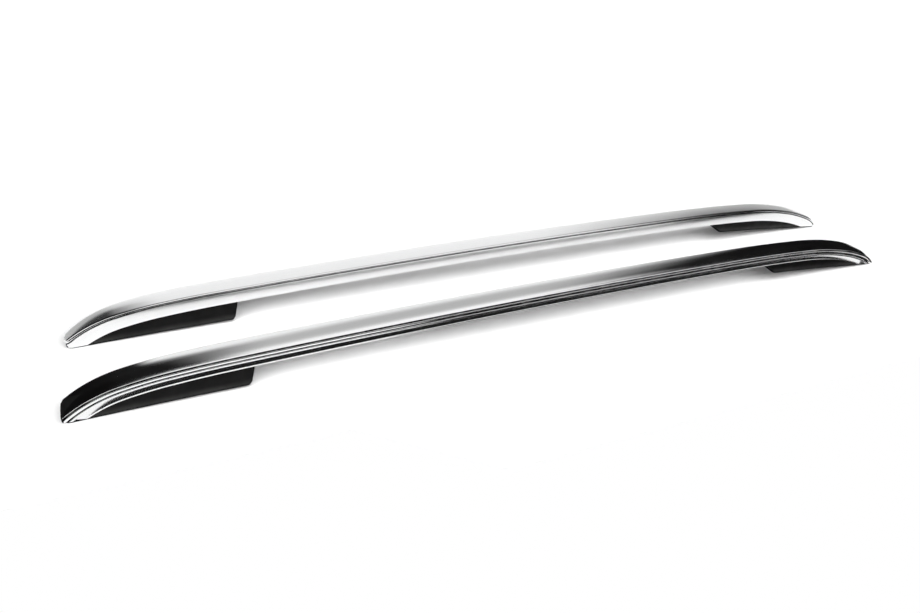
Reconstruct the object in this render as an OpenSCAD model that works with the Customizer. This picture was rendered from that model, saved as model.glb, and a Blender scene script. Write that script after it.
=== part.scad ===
// Pair of car roof side rails, a right one and a left one, laid side by side as a set.
//
// Each rail is a hollow aluminium extrusion bent into a long low arch. Both ends curve down to the roof and
// are cut there, and a moulded foot fills the wedge under each end. A rubber pad goes between foot and roof.
// Inside the bar a tapped steel strip takes two screws from each foot, and two threaded inserts in each foot
// take the fixings that come up through the roof.
//
// Frame: X runs along the rails with the front of the car at +X, Y across them with the left rail at +Y,
// and Z up. The origin lies midway between the rails and their ends, on the level of the rail tips.
// A rail is drawn once, with its outer side at w = 0 and w growing towards the middle of the car.

/* [Rail] */
// Length over both tips
rail_length = 1705; // [1600:5:1800]
// Height of the bar's underside over the tips, at the top of the arch
arch_height = 56; // [52:1:60]
// Free space between the two rails as they lie
rail_gap = 136; // [60:1:300]

/* [Bar section] */
// Width of the bar
bar_w = 44; // [42:1:46]
// Height of the bar at its crown
bar_h = 30; // [29.5:0.5:32]
// Radius of the outer half of the crown, which falls off towards the outside of the car
outer_crown_r = 50; // [46:1:60]
// Radius of the inner half of the crown, which is almost flat
inner_crown_r = 150; // [120:5:200]
// Radius of the shoulder between the crown and the outer side
outer_shoulder_r = 2.2; // [1.8:0.1:2.4]
// Radius of the shoulder between the crown and the inner side
inner_shoulder_r = 5; // [4:0.5:6]
// Thickness of the bar's bottom wall
wall = 2.3; // [1.8:0.1:2.6]

/* [Feet] */
// Length of the front foot along the roof
front_foot_len = 326; // [310:1:340]
// Length of the rear foot along the roof
rear_foot_len = 276; // [265:1:290]
// Rise of the roof from the front tip to the inner end of the front foot
front_rise = 29; // [24:1:31]
// Rise of the roof from the rear tip to the inner end of the rear foot
rear_rise = 5.5; // [3:0.5:9]
// How far a foot's sides stand back from the sides of the bar
foot_inset = 1.2; // [0.8:0.1:2]
// Wall of the moulded feet
foot_wall = 3; // [2.5:0.1:3.5]
// Thickness of the rubber pads
pad_t = 2; // [1.5:0.1:2.5]

/* [Fixings] */
// Radius of the tapped hole in a threaded insert
insert_hole_r = 2.5; // [2:0.1:3.3]
// Length of a threaded insert
insert_len = 12; // [10:0.5:13]
// Radius of the screws that hold a foot to the bar
screw_r = 3; // [2.5:0.1:3]

/* [Hidden] */

$fn = 48;

FRONT = 1;
REAR = -1;

half_len = rail_length / 2;
pair_w = rail_gap + 2 * bar_w;
mid_w = bar_w / 2;
far = 200;      // past every solid, upwards or across
eps = 0.02;     // play of a part that is pressed or screwed into another
over = 5;       // how far a cutter goes past what it cuts

// Each end of the bar's underside is a chain of tangent arcs, from the top of the arch outwards.
// An arc is its radius and the slope in degrees at its outer end. The first radius is the long one of the
// middle, which takes up what the ends leave of the length.
front_bends = [[3280, 3.8], [700, 13.2], [486, 22.2], [105, 56]];
rear_bends = [[1740, 5.3], [550, 12.1], [174, 54]];
front_first_slope = 0.85;
rear_first_slope = 2.15;
front_tip_slope = 44.6;
rear_tip_slope = 39.6;
side_h = 23.5;  // height of the fine groove under the crown, which ends at the tips
tip_back = 2.5; // the nose goes past the end of that groove by this much
chord_gap = 0.12; // a chord leaves its arc by no more than this

// Distance outwards from the start of a chain of arcs, and distance down, to the place where the slope is t.
function reach(list, t, i = 0) =
    i == len(list) ? 0 :
    let (a = i == 0 ? 0 : list[i - 1][1], b = min(t, list[i][1]))
    b <= a ? 0 : list[i][0] * (sin(b) - sin(a)) + reach(list, t, i + 1);
function drop(list, t, i = 0) =
    i == len(list) ? 0 :
    let (a = i == 0 ? 0 : list[i - 1][1], b = min(t, list[i][1]))
    b <= a ? 0 : list[i][0] * (cos(a) - cos(b)) + drop(list, t, i + 1);

// Length along X of a bent end, from the middle arc to the end of the fine groove.
function bent_end(bends, first_slope, tip_slope) =
    reach(concat([[0, first_slope]], bends), tip_slope) + side_h * sin(tip_slope);

front_end = bent_end(front_bends, front_first_slope, front_tip_slope);
rear_end = bent_end(rear_bends, rear_first_slope, rear_tip_slope);
middle_r = (rail_length - 2 * tip_back - front_end - rear_end)
    / (sin(front_first_slope) + sin(rear_first_slope));
crown_x = half_len - tip_back - front_end - middle_r * sin(front_first_slope);

function arcs(end) = end == FRONT
    ? concat([[middle_r, front_first_slope]], front_bends)
    : concat([[middle_r, rear_first_slope]], rear_bends);

// The point at height n over the underside, square to it, where the slope towards that end is t.
function on_path(end, t, n) = [
    crown_x + end * (reach(arcs(end), t) + n * sin(t)),
    arch_height - drop(arcs(end), t) + n * cos(t)
];

// Slopes at which the bar has a station.
function steps_of(list) = [
    for (i = [0 : len(list) - 1])
        let (a = i == 0 ? 0 : list[i - 1][1], b = list[i][1])
        let (count = ceil((b - a) / (2 * acos(1 - chord_gap / list[i][0]))))
        for (k = [1 : count]) a + (b - a) * k / count
];
front_slopes = steps_of(arcs(FRONT));
rear_slopes = steps_of(arcs(REAR));
stations = concat(
    [for (i = [len(rear_slopes) - 1 : -1 : 0]) [REAR, rear_slopes[i]]],
    [[FRONT, 0]],
    [for (t = front_slopes) [FRONT, t]]
);

function curve(n) = [for (s = stations) on_path(s[0], s[1], n)];
function arc(cx, cy, r, from, to, steps) = [
    for (i = [0 : steps]) let (a = from + (to - from) * i / steps) [cx + r * cos(a), cy + r * sin(a)]
];

// Slope of the bar towards an end at the distance u from that end, found by halving.
function slope_at(end, u, lo = 0, hi = 50, rounds = 22) =
    rounds == 0 ? (lo + hi) / 2 :
    let (m = (lo + hi) / 2)
    let (here = half_len - end * on_path(end, m, 0)[0])
    here > u ? slope_at(end, u, m, hi, rounds - 1) : slope_at(end, u, lo, m, rounds - 1);

// Section of the bar as points [w, n], from the bottom lip up the outer side, over the crown and down.
// Each half of the crown is an arc through the middle of the top, and a shoulder is an arc inside it.
side_step = 0.8;    // the shoulders stand back from the sides by this much
groove_floor = 3.2; // depth of the grooves on the outer side
lower_rib = [10.5, 14.8];
upper_rib = [16.8, 22.3];
rib_back_off = 0.7; // the ribs' edges stand back from the side by this much
lower_face_lean = 20;
lower_face_h = 7.9;
lip_h = 1.9;
lip_r = 0.8;
inner_edge_r = 1.5;
inner_groove = [22.8, 24.2];
inner_groove_depth = 2.4;

// How far a shoulder of radius r spans the crown's half of radius big, as an angle from the top.
function crown_span(big, r) = asin((mid_w - side_step - r) / (big - r));
function shoulder_up(big, r) = bar_h - big + (big - r) * cos(crown_span(big, r));
outer_span = crown_span(outer_crown_r, outer_shoulder_r);
inner_span = crown_span(inner_crown_r, inner_shoulder_r);

// A rib between two heights: its front is slightly round, and its edges are broken.
function rib(low, high, back_off, depth) = [
    [depth, low],
    [back_off + 0.5, low + 0.3],
    [back_off + 0.1, low + 0.9],
    [back_off - 0.2, (low + high) / 2],
    [back_off + 0.1, high - 0.9],
    [back_off + 0.5, high - 0.3],
    [depth, high]
];

function outer_profile() = concat(
    arc(lip_r, lip_r, lip_r, 270, 180, 2),
    [[0, lip_h]],
    [[0.6, lip_h + 0.4]],
    [[0.6 + lower_face_h * tan(lower_face_lean), lip_h + 0.4 + lower_face_h]],
    rib(lower_rib[0], lower_rib[1], rib_back_off, groove_floor),
    rib(upper_rib[0], upper_rib[1], rib_back_off, groove_floor),
    [[groove_floor, shoulder_up(outer_crown_r, outer_shoulder_r) + 0.4]],
    arc(side_step + outer_shoulder_r, shoulder_up(outer_crown_r, outer_shoulder_r), outer_shoulder_r,
        168, 90 + outer_span, 4),
    arc(mid_w, bar_h - outer_crown_r, outer_crown_r, 86 + outer_span, 90, 5),
    arc(mid_w, bar_h - inner_crown_r, inner_crown_r, 88, 90.8 - inner_span, 2),
    arc(bar_w - side_step - inner_shoulder_r, shoulder_up(inner_crown_r, inner_shoulder_r), inner_shoulder_r,
        90 - inner_span, 8, 5),
    [[bar_w - inner_groove_depth, inner_groove[1]]],
    [[bar_w - inner_groove_depth, inner_groove[0]]],
    [[bar_w - 0.4, inner_groove[0] - 0.2]],
    [[bar_w, inner_groove[0] - 0.6]],
    arc(bar_w - inner_edge_r, inner_edge_r, inner_edge_r, 0, -90, 3)
);

// The hollow follows the outside at the crown's thickness, and steps in behind the ribs and the inner groove.
crown_t = 2.5;
rib_back = 6;
groove_back = 4.8;
inner_wall = 2.8;
function cavity_profile() = concat(
    [[rib_back - 1.2, wall]],
    [[rib_back, 9]],
    [[rib_back, 21.5]],
    [[rib_back + 1.5, 24]],
    arc(mid_w, bar_h - outer_crown_r, outer_crown_r - crown_t, 104, 90, 3),
    arc(mid_w, bar_h - inner_crown_r, inner_crown_r - crown_t, 87, 84.6, 1),
    [[bar_w - groove_back - 1.2, inner_groove[1] + 0.2]],
    [[bar_w - groove_back, inner_groove[0] - 0.6]],
    [[bar_w - inner_wall, 20]],
    [[bar_w - inner_wall, wall + 1.1]],
    [[bar_w - inner_wall - 1.1, wall]]
);

// A section carried along the underside. Each end closes on a point that lies below the roof cut.
module sweep(profile, apex_n) {
    count = len(profile);
    last = len(stations) - 1;
    ring = [for (s = stations) for (p = profile) let (c = on_path(s[0], s[1], p[1])) [c[0], p[0], c[1]]];
    first_tip = on_path(REAR, stations[0][1], apex_n);
    last_tip = on_path(FRONT, stations[last][1], apex_n);
    ahead = 4;
    points = concat(ring, [
        [first_tip[0] - ahead * cos(stations[0][1]), mid_w, first_tip[1] - ahead * sin(stations[0][1])],
        [last_tip[0] + ahead * cos(stations[last][1]), mid_w, last_tip[1] - ahead * sin(stations[last][1])]
    ]);
    sides = [for (i = [0 : last - 1]) for (j = [0 : count - 1]) let (k = (j + 1) % count)
        [i * count + k, (i + 1) * count + k, (i + 1) * count + j, i * count + j]];
    first_cap = [for (j = [0 : count - 1]) [(j + 1) % count, j, len(ring)]];
    last_cap = [for (j = [0 : count - 1])
        [last * count + j, last * count + (j + 1) % count, len(ring) + 1]];
    polyhedron(points, concat(sides, first_cap, last_cap));
}

// Side views, drawn in X and Z and given a width across the rail.
module across(from, to) {
    translate([0, to, 0]) rotate([90, 0, 0]) linear_extrude(to - from) children();
}

module below_path(n) {
    line = curve(n);
    polygon(concat(line, [[line[len(line) - 1][0], -far], [line[0][0], -far]]));
}

function foot_len(end) = end == FRONT ? front_foot_len : rear_foot_len;
function roof_rise(end) = end == FRONT ? front_rise : rear_rise;

// Height of the roof at the distance u from a tip. It is a shallow arc through both ends of the foot.
roof_r = 9000;
function roof(end, u) = roof_rise(end) * u / foot_len(end) + u * (foot_len(end) - u) / (2 * roof_r);

module above_roof(end, lift) {
    last = foot_len(end) + 30;
    steps = 16;
    line = [for (i = [0 : steps]) let (u = last * i / steps) [end * (half_len - u), roof(end, u) + lift]];
    polygon(concat(line, [[end * (half_len - last), far], [end * half_len, far]]));
}

// What lies under the roof at one end, out to well past the tip.
module below_roof(end, lift) {
    line = [for (u = [-100 : 20 : 120]) [end * (half_len - u), roof(end, max(u, 0)) + lift]];
    polygon(concat(line, [[end * (half_len - 120), -far], [end * (half_len + 100), -far]]));
}

// Plan of a rail end: a blunt nose with rounded corners.
nose_r = 13;
module nose_plan(end, inset, length) {
    r = nose_r - inset;
    mirror([end == FRONT ? 0 : 1, 0]) translate([half_len, 0]) {
        translate([-nose_r, nose_r]) circle(r);
        translate([-nose_r, bar_w - nose_r]) circle(r);
        translate([-nose_r, nose_r]) square([nose_r - inset, bar_w - 2 * nose_r]);
        translate([-length, inset]) square([length - nose_r, bar_w - 2 * inset]);
    }
}

module nose_cutter(end) {
    linear_extrude(3 * bar_h, center = true) difference() {
        mirror([end == FRONT ? 0 : 1, 0]) translate([half_len - nose_r, -over])
            square([3 * nose_r, bar_w + 2 * over]);
        nose_plan(end, 0, 2 * nose_r);
    }
}

// Places along the rear and the front foot, as distances from the tip.
notch_end = [84, 104];
insert_at = [[88, 238], [152, 288]];
screw_at = [[132, 190], [198, 244]];
pocket_at = [
    [[62, 78], [100, 118], [145, 176], [204, 226], [249, 262]],
    [[96, 140], [163, 184], [210, 232], [256, 276], [300, 314]]
];
function pick(list, end) = list[end == FRONT ? 1 : 0];

// Puts its children at the distance u from a tip, on the centre line, upright at the height lift over the roof.
module on_roof(end, u, lift) {
    translate([end * (half_len - u), mid_w, roof(end, u) + lift]) children();
}

// Puts its children at the distance u from a tip, square to the bar's underside.
module on_bar(end, u) {
    t = slope_at(end, u);
    at = on_path(end, t, 0);
    translate([at[0], mid_w, at[1]]) rotate([0, end * t, 0]) children();
}

insert_r = 5;
insert_sunk = 1;      // depth of an insert's mouth in the foot
screw_seat = 7;       // depth of a screw's seat under the bar
screw_clear = 0.4;
screw_head_r = 5.5;
screw_head_h = 3.6;
head_room = 0.7;      // play round a screw's head
strip_t = 4;
strip_w = 26;

module bar() {
    difference() {
        sweep(outer_profile(), bar_h / 2);
        sweep(cavity_profile(), bar_h / 2);
        for (end = [REAR, FRONT]) {
            across(-over, bar_w + over) below_roof(end, pad_t);
            nose_cutter(end);
            notch(end);
            for (u = pick(screw_at, end))
                on_bar(end, u) translate([0, 0, -over])
                    cylinder(r = screw_r + screw_clear, h = wall + 2 * over);
        }
    }
}

// The bottom wall is milled away at each end, where the tongue of the foot goes into the bar.
tongue_from = 7.5;
tongue_to = bar_w - 7;
tongue_n = 14;        // height of the tongue inside the bar
tongue_root = 2;      // depth of the tongue's root in the foot
tongue_short = 12;    // the tongue ends this far from the tip
notch_play = 0.3;
module notch(end) {
    across(tongue_from - notch_play, tongue_to + notch_play) intersection() {
        difference() {
            below_path(wall + 1);
            below_path(-1);
        }
        mirror([end == FRONT ? 0 : 1, 0])
            translate([half_len - pick(notch_end, end), -far]) square([far, 2 * far]);
    }
}

// Side view of a foot's inner end: it leans towards the middle of the rail at the top.
end_lean = [12.5, 55.8];
heel_r = 8;
module foot_end(end) {
    u = foot_len(end);
    rise = roof(end, u) + pad_t;
    lean = pick(end_lean, end);
    mirror([end == FRONT ? 0 : 1, 0]) translate([half_len - u, rise]) {
        polygon(concat(
            [[u, -far]],
            [[heel_r, -far]],
            arc(heel_r, heel_r, heel_r, 270, 180 + lean, 6),
            [[heel_r * (1 - 1 / cos(lean)) - (far - heel_r) * tan(lean), far]],
            [[u, far]]
        ));
    }
}

module foot_side(end) {
    intersection() {
        below_path(0);
        foot_end(end);
    }
}

boss_r = 8.5;
foot_top = 3.2;       // thickness of the foot under the bar
module foot(end) {
    difference() {
        intersection() {
            union() {
                intersection() {
                    across(foot_inset, bar_w - foot_inset) foot_side(end);
                    linear_extrude(far) nose_plan(end, foot_inset, 2 * foot_len(end));
                }
                tongue(end);
            }
            across(0, bar_w) above_roof(end, pad_t);
        }
        intersection() {
            across(foot_inset + foot_wall, bar_w - foot_inset - foot_wall) below_path(-foot_top);
            pockets(end);
        }
        for (u = pick(insert_at, end))
            on_roof(end, u, pad_t - over) cylinder(r = insert_r + eps, h = over + insert_sunk + insert_len + 0.4);
        for (u = pick(screw_at, end)) on_bar(end, u) {
            translate([0, 0, -far]) cylinder(r = screw_head_r + head_room, h = far - screw_seat);
            translate([0, 0, -screw_seat - over]) cylinder(r = screw_r + screw_clear, h = screw_seat + 2 * over);
        }
    }
}

module tongue(end) {
    across(tongue_from, tongue_to) intersection() {
        difference() {
            below_path(tongue_n);
            below_path(-tongue_root);
        }
        mirror([end == FRONT ? 0 : 1, 0]) translate([half_len - pick(notch_end, end) + 1, 0])
            square([pick(notch_end, end) - tongue_short, far]);
    }
}

// Pockets open to the roof between the cross ribs, round the bosses of inserts and screws.
module pockets(end) {
    places = pick(pocket_at, end);
    difference() {
        for (p = places)
            mirror([end == FRONT ? 0 : 1, 0, 0]) translate([half_len - p[1], 0, -far / 2])
                cube([p[1] - p[0], bar_w, far]);
        for (u = pick(insert_at, end)) on_roof(end, u, -far / 2) cylinder(r = boss_r, h = far);
        for (u = pick(screw_at, end)) on_bar(end, u) translate([0, 0, -far / 2]) cylinder(r = boss_r, h = far);
    }
}

pad_inset = foot_inset - 0.4;
pad_corner_r = 6;
pad_hole_r = 7;
module pad(end) {
    difference() {
        intersection() {
            across(0, bar_w) difference() {
                above_roof(end, 0);
                above_roof(end, pad_t);
            }
            linear_extrude(far) pad_plan(end);
        }
        for (u = pick(insert_at, end)) on_roof(end, u, -over) cylinder(r = pad_hole_r, h = 3 * over);
        for (u = pick(screw_at, end)) on_bar(end, u) translate([0, 0, -far / 2])
            cylinder(r = pad_hole_r, h = far / 2);
    }
}

// Plan of a pad: the nose at the tip, and rounded corners at the inner end.
module pad_plan(end) {
    wide = bar_w - 2 * pad_inset;
    back = foot_len(end) - heel_r;
    nose_plan(end, pad_inset, back);
    mirror([end == FRONT ? 0 : 1, 0]) translate([half_len - back, pad_inset]) {
        translate([-pad_corner_r, pad_corner_r]) square([2 * pad_corner_r, wide - 2 * pad_corner_r]);
        translate([0, pad_corner_r]) circle(pad_corner_r);
        translate([0, wide - pad_corner_r]) circle(pad_corner_r);
    }
}

// A strip bent like the bar, lying on the floor of its hollow, tapped for the screws.
module nut_strip(end) {
    places = pick(screw_at, end);
    spare = 16;
    difference() {
        across(mid_w - strip_w / 2, mid_w + strip_w / 2) intersection() {
            difference() {
                below_path(wall + strip_t);
                below_path(wall);
            }
            mirror([end == FRONT ? 0 : 1, 0]) translate([half_len - places[1] - spare, 0])
                square([places[1] - places[0] + 2 * spare, far]);
        }
        for (u = places) on_bar(end, u) cylinder(r = screw_r + eps, h = wall + strip_t + over);
    }
}

// A knurled insert has two bands with a groove between them, and a chamfer at its mouth.
module insert() {
    band = insert_len * 0.42;
    waist_r = insert_r - 0.7;
    chamfer = 0.4;
    mouth = 0.6;
    rotate_extrude() polygon([
        [insert_hole_r, mouth],
        [insert_hole_r + mouth, 0],
        [insert_r - chamfer, 0],
        [insert_r, chamfer],
        [insert_r, band],
        [waist_r, band + 0.5],
        [waist_r, insert_len - band - 0.5],
        [insert_r, insert_len - band],
        [insert_r, insert_len - chamfer],
        [insert_r - chamfer, insert_len],
        [insert_hole_r, insert_len]
    ]);
}

module inserts(end) {
    for (u = pick(insert_at, end)) on_roof(end, u, pad_t + insert_sunk) insert();
}

// A pan head screw with a six-sided socket, standing head down.
module screw() {
    edge = 1;
    key_r = 2.3;
    key_depth = 2;
    bottom = -screw_seat - screw_head_h;
    difference() {
        union() {
            translate([0, 0, bottom]) cylinder(r1 = screw_head_r - edge, r2 = screw_head_r, h = edge);
            translate([0, 0, bottom + edge]) cylinder(r = screw_head_r, h = screw_head_h - edge);
            translate([0, 0, -screw_seat - 0.5]) cylinder(r = screw_r, h = screw_seat + wall + strip_t + 2);
        }
        translate([0, 0, bottom - 1]) cylinder(r = key_r, h = key_depth + 1, $fn = 6);
    }
}

module screws(end) {
    for (u = pick(screw_at, end)) on_bar(end, u) screw();
}

// The right rail lies at -Y with its outer side outwards, and the left rail is its mirror image.
module right_side() {
    translate([0, -pair_w / 2, 0]) children();
}

module left_side() {
    mirror([0, 1, 0]) right_side() children();
}

module aluminium() {
    color([0.80, 0.81, 0.82]) children();
}

module black_plastic() {
    color([0.09, 0.09, 0.09]) children();
}

module rubber() {
    color([0.05, 0.05, 0.05]) children();
}

module steel() {
    color([0.62, 0.63, 0.64]) children();
}

module brass() {
    color([0.80, 0.66, 0.36]) children();
}

right_side() aluminium() bar();  // right_bar
right_side() black_plastic() foot(FRONT);  // right_front_foot
right_side() black_plastic() foot(REAR);  // right_rear_foot
right_side() rubber() pad(FRONT);  // right_front_pad
right_side() rubber() pad(REAR);  // right_rear_pad
right_side() steel() nut_strip(FRONT);  // right_front_nut_strip
right_side() steel() nut_strip(REAR);  // right_rear_nut_strip
right_side() brass() inserts(FRONT);  // right_front_inserts
right_side() brass() inserts(REAR);  // right_rear_inserts
right_side() steel() screws(FRONT);  // right_front_screws
right_side() steel() screws(REAR);  // right_rear_screws

left_side() aluminium() bar();  // left_bar
left_side() black_plastic() foot(FRONT);  // left_front_foot
left_side() black_plastic() foot(REAR);  // left_rear_foot
left_side() rubber() pad(FRONT);  // left_front_pad
left_side() rubber() pad(REAR);  // left_rear_pad
left_side() steel() nut_strip(FRONT);  // left_front_nut_strip
left_side() steel() nut_strip(REAR);  // left_rear_nut_strip
left_side() brass() inserts(FRONT);  // left_front_inserts
left_side() brass() inserts(REAR);  // left_rear_inserts
left_side() steel() screws(FRONT);  // left_front_screws
left_side() steel() screws(REAR);  // left_rear_screws
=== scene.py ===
# %% [markdown]
# A pair of car roof side rails, laid out on a white studio floor.
#
# Each rail is a bright aluminium extrusion bent into a long low arch. Its ends come down to the roof, and a
# moulded black foot fills the wedge under each of them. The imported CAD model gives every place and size. This
# script gives the rails their finish: it sweeps the bars again as smooth skins, rounds the edges of the moulded
# feet, and lights the pair as in a product photograph.

import math

import bmesh
import bpy
from mathutils import Matrix, Vector


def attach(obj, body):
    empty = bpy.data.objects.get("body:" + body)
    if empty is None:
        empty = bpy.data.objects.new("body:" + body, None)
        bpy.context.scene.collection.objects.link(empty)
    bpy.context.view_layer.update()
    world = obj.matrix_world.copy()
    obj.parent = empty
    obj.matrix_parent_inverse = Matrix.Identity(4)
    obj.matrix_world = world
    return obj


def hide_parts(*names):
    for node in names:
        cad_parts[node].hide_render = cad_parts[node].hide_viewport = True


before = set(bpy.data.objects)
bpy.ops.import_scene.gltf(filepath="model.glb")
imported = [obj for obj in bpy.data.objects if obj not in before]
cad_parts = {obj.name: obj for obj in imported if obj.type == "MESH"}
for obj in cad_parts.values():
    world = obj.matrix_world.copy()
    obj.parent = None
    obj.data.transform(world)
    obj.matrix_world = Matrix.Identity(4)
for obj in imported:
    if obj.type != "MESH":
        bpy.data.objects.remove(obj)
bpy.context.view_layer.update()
print("nodes:", len(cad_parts))

# %% [markdown]
# The camera stands in front of the near rail, to the left, and looks down at it. Its place was found by fitting
# the outlines of both rails, so a turn about its own axis (the roll) belongs to it too. A Track To constraint
# could aim it, but that keeps the horizon level. So its matrix is built from three directions: where the camera
# looks, what is right in its picture, and what is up.

# %% Camera
MM = 0.001
YAW = math.radians(26.49)
PITCH = math.radians(36.0)
ROLL = math.radians(6.29)
CAMERA_PLACE = Vector((-0.6512, -0.9762, 0.7923))
SENSOR_W = 36
LENS = 26.98
NEAREST_SEEN = 0.02

look = Vector((math.sin(YAW) * math.cos(PITCH), math.cos(YAW) * math.cos(PITCH), -math.sin(PITCH)))
level_right = Vector((math.cos(YAW), -math.sin(YAW), 0))
level_up = level_right.cross(look)
right = level_right * math.cos(ROLL) + level_up * math.sin(ROLL)
up = right.cross(look)

camera_data = bpy.data.cameras.new("camera")
camera_data.sensor_width = SENSOR_W
camera_data.lens = LENS
camera_data.clip_start = NEAREST_SEEN
camera = bpy.data.objects.new("camera", camera_data)
turn = Matrix((right, up, -look)).transposed().to_4x4()
camera.matrix_world = Matrix.Translation(CAMERA_PLACE) @ turn
bpy.context.scene.collection.objects.link(camera)
bpy.context.scene.camera = camera
print("camera looks along", tuple(round(v, 3) for v in look))

# %% [markdown]
# Every shape below is drawn in a bmesh, Blender's workbench for meshes. Its operators give back vertices, edges
# and faces in one list, so a helper picks one kind out of it. Two more draw a line through vertices and move
# what was just extruded.

# %% Small helpers for a bmesh
BMVert, BMEdge, BMFace = bmesh.types.BMVert, bmesh.types.BMEdge, bmesh.types.BMFace
MERGE_DIST = 0.000001


def only(geom, kind):
    return [part for part in geom if isinstance(part, kind)]


def join_up(bm, verts, closed=False):
    """Draws an edge from each vertex to the next, and from the last to the first where the line is closed."""
    nexts = verts[1:] + verts[:1] if closed else verts[1:]
    return [bm.edges.new(pair) for pair in zip(verts, nexts)]


def shift(bm, geom, by):
    bmesh.ops.translate(bm, verts=only(geom, BMVert), vec=by)


print("vertices closer than", MERGE_DIST, "m are merged")

# %% [markdown]
# A finished bmesh becomes an object. Its faces are shaded smooth, so that a curved skin shows no facets, and
# edges where two faces meet at more than a set angle stay sharp, as the edges of a groove do on the real bar.
# The editor's Shade Smooth by Angle does the same to what is selected, but a script is safer without selections.


# %% Turning a bmesh into an object
def new_object(bm, name):
    mesh = bpy.data.meshes.new(name)
    bm.to_mesh(mesh)
    bm.free()
    thing = bpy.data.objects.new(name, mesh)
    bpy.context.scene.collection.objects.link(thing)
    return thing


def make_piece(bm, name, sharp_angle=35):
    """Merges doubles, turns the faces outwards, and shades them smooth up to the sharp angle in degrees."""
    bmesh.ops.remove_doubles(bm, verts=bm.verts, dist=MERGE_DIST)
    bmesh.ops.recalc_face_normals(bm, faces=bm.faces)
    for face in bm.faces:
        face.smooth = True
    for edge in bm.edges:
        edge.smooth = len(edge.link_faces) == 2 and edge.calc_face_angle() < math.radians(sharp_angle)
    return new_object(bm, name)


print("helpers:", new_object.__name__, make_piece.__name__)

# %% [markdown]
# The bar is an extrusion, so it starts as the outline of its section. Two shallow ribs with grooves round them
# run along the outer side. The crown is two arcs that meet at the top, a round one towards the outside of the
# car and a flatter one towards the inside.
#
# All measures are millimetres. In the section they run across the bar from its outer side, and up from its
# underside.

# %% Measures of the section
BAR_W = 44
BAR_H = 30
# How far the shoulders stand back from the sides, and the depth of the grooves on the outer side.
SIDE_STEP = 0.8
GROOVE_FLOOR = 3.2
# Where the right bar's outer side lies along Y.
NEAR_FACE = -112
# Radius of the crown's arc, and of the shoulder that it runs into.
CROWN = {"outer": (50, 2.2), "inner": (150, 5)}


def crown_span(big, small):
    """Angle from the top of the crown to where its arc runs into the shoulder, a smaller arc inside it."""
    return math.asin((BAR_W / 2 - SIDE_STEP - small) / (big - small))


SPAN = {side: crown_span(*radii) for side, radii in CROWN.items()}
print("the crown turns by", {side: round(math.degrees(span), 1) for side, span in SPAN.items()}, "degrees")

# %% [markdown]
# An outline could be a long list of points along every curve. Here it is only the corners that a draughtsman
# would mark, each with the radius that it is rounded by. A rib is five of them: a groove's corner, an edge, the
# slightly round front, the other edge and the next groove's corner.

# %% Corners of the section
RIB_EDGE = 0.95
RIB_FRONT = 0.5
RIB_CHAMFER = 0.25


def rib(low, high, lowest_r, front_r, upper_edge_r):
    """Corners of a rib between two heights: across, up, radius."""
    return [
        (GROOVE_FLOOR, low, lowest_r),
        (RIB_EDGE, low + RIB_CHAMFER, 0.45),
        (RIB_FRONT, (low + high) / 2, front_r),
        (RIB_EDGE, high - RIB_CHAMFER, upper_edge_r),
        (GROOVE_FLOOR, high, 0.3),
    ]


# Before the crown, from the inner lower corner past the bottom lip and up the outer side.
OUTER_SIDE = [
    (BAR_W, 0, 1.5), (0, 0, 0.8), (0, 1.95, 0.25), (0.6, 2.3, 0.4), (3.48, 10.2, 0.15),
    *rib(10.5, 14.8, 0.15, 5, 0.8),
    *rib(16.8, 22.3, 0.3, 6, 1.1),
    (GROOVE_FLOOR, 24.27, 0.3), (0.84, 24.3, 0.1), (1.08, 25.43, 1.9),
]
# After the crown, down the inner side with its one groove.
INNER_SIDE = [
    (42.61, 28.63, 4.9), (43.2, 24.45, 0.2), (41.6, 24.2, 0.15), (41.6, 22.8, 0.15), (43.6, 22.6, 0.2),
    (BAR_W, 22.2, 0.3),
]
CAVITY = [
    (4.8, 2.3, 0.8), (6, 9, 2), (6, 21.5, 2), (7.5, 24, 1.5), (10.5, 25.9, 5), (22, 27.6, 40), (36, 26.8, 2),
    (38, 24.4, 1), (39.2, 22.2, 1), (41.2, 20, 1), (41.2, 3.4, 0.8), (40.1, 2.3, 0.8),
]
print("corners:", len(OUTER_SIDE), "before the crown,", len(INNER_SIDE), "after it,", len(CAVITY), "in the hollow")

# %% [markdown]
# Straight strokes join the corners, and each corner is then rounded by a vertex bevel. A bevel takes the
# distance that it cuts off both strokes, which is the radius times the tangent of half the turn. The crown's
# arcs are too long and flat for that, so a spin draws each of them exactly.

# %% Strokes, corners and arcs
ARC_STEPS = 12
WIDE_R = 2
WIDE_SEGMENTS, TIGHT_SEGMENTS = 8, 3


def at(across, height, x):
    return Vector((x, (NEAR_FACE + across) * MM, height * MM))


def draw_line(bm, points, x, base):
    """Joins the points (across, up, radius) with edges and gives back the vertices with their radii."""
    verts = [bm.verts.new(at(across, base + up, x)) for across, up, _ in points]
    join_up(bm, verts)
    return list(zip(verts, (radius for _, _, radius in points)))


def round_corner(bm, corner, radius, segments):
    a, b = (edge.other_vert(corner).co - corner.co for edge in corner.link_edges)
    turned = math.pi - a.angle(b)
    bmesh.ops.bevel(bm, geom=[corner], offset=radius * MM * math.tan(turned / 2), offset_type="OFFSET",
                    segments=segments, profile=0.5, affect="VERTICES", material=-1)


def round_corners(bm, corners):
    for corner, radius in corners:
        round_corner(bm, corner, radius, WIDE_SEGMENTS if radius > WIDE_R else TIGHT_SEGMENTS)


def draw_arc(bm, start, radius, angle, x, base):
    """Spins the vertex start along the crown and gives back the vertex at the other end."""
    centre = at(BAR_W / 2, base + BAR_H - radius, x)
    arc = bmesh.ops.spin(bm, geom=[start], cent=centre, axis=(1, 0, 0), angle=-angle, steps=ARC_STEPS,
                         use_merge=False, use_duplicate=False)
    return only(arc["geom_last"], BMVert)[0]


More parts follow.
